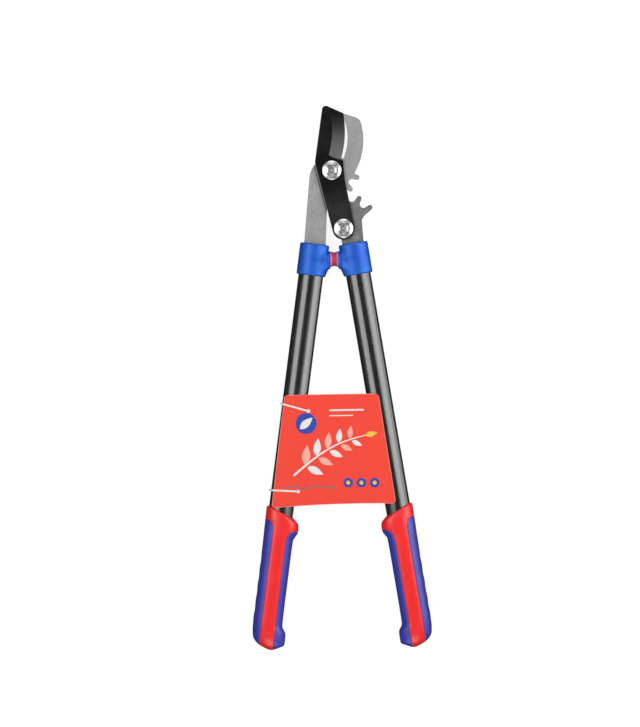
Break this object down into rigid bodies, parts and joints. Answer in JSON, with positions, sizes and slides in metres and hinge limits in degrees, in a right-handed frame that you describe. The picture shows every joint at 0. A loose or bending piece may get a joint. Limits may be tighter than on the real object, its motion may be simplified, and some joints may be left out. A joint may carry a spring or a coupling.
{
  "type": "geared bypass lopper",
  "caption": "Long-handled bypass lopper: the cutting blade carries the pivots of a hook lever and a lever with meshing gear teeth, on oval tubes with padded grips and a tied hang tag.",
  "frame": {"origin": "axis of the main pivot, on the plane that the closed lopper lies on, at the back face of the main pivot nut", "axes": "+Y towards the blade's tip and -Y towards the grips, +X to the side of the gear lever, +Z to the front, where the bolt heads are"},
  "size_m": [0.2305, 0.7004, 0.0302],
  "materials": {
    "blade_coating": "satin",
    "hook_steel": "matte",
    "gear_steel": "matte",
    "bolt_chrome": "polished",
    "nut_zinc": "satin",
    "tube_paint": "satin",
    "plug_plastic": "matte",
    "pin_steel": "satin",
    "ferrule_blue": "satin",
    "bumper_red": "matte",
    "grip_red": "satin",
    "pad_blue": "matte",
    "tag_card": "satin",
    "tie_white": "satin"
  },
  "bodies": {
    "blade_link": {"cutting_blade": "blade_coating", "main_pivot_bolt": "bolt_chrome", "gear_pivot_bolt": "bolt_chrome", "main_pivot_nut": "nut_zinc", "gear_pivot_nut": "nut_zinc", "main_pivot_washer": "nut_zinc", "gear_pivot_washer": "nut_zinc"},
    "left_handle": {"hook_lever": "hook_steel", "left_tube": "tube_paint", "left_tang_plug": "plug_plastic", "left_tang_pin": "pin_steel", "left_ferrule": "ferrule_blue", "left_bumper": "bumper_red", "left_grip_sleeve": "grip_red", "left_grip_outer_pad": "pad_blue", "left_grip_inner_pad": "pad_blue", "hang_tag": "tag_card", "upper_tag_tie": "tie_white", "lower_tag_tie": "tie_white"},
    "right_handle": {"gear_lever": "gear_steel", "right_tube": "tube_paint", "right_tang_plug": "plug_plastic", "right_tang_pin": "pin_steel", "right_ferrule": "ferrule_blue", "right_bumper": "bumper_red", "right_grip_sleeve": "grip_red", "right_grip_outer_pad": "pad_blue", "right_grip_inner_pad": "pad_blue"}
  },
  "joints": [
    {"name": "left_handle_turn", "type": "hinge", "parent": "blade_link", "child": "left_handle", "pos_m": [0, 0, 0], "axis": [0, 0, 1], "range_deg": [-50, 0]},
    {"name": "right_handle_turn", "type": "hinge", "parent": "blade_link", "child": "right_handle", "pos_m": [0.01521, -0.07477, 0], "axis": [0, 0, 1], "range_deg": [0, 40]}
  ],
  "couplings": [
    {"joint": "right_handle_turn", "follows": "left_handle_turn", "ratio": -0.8}
  ]
}
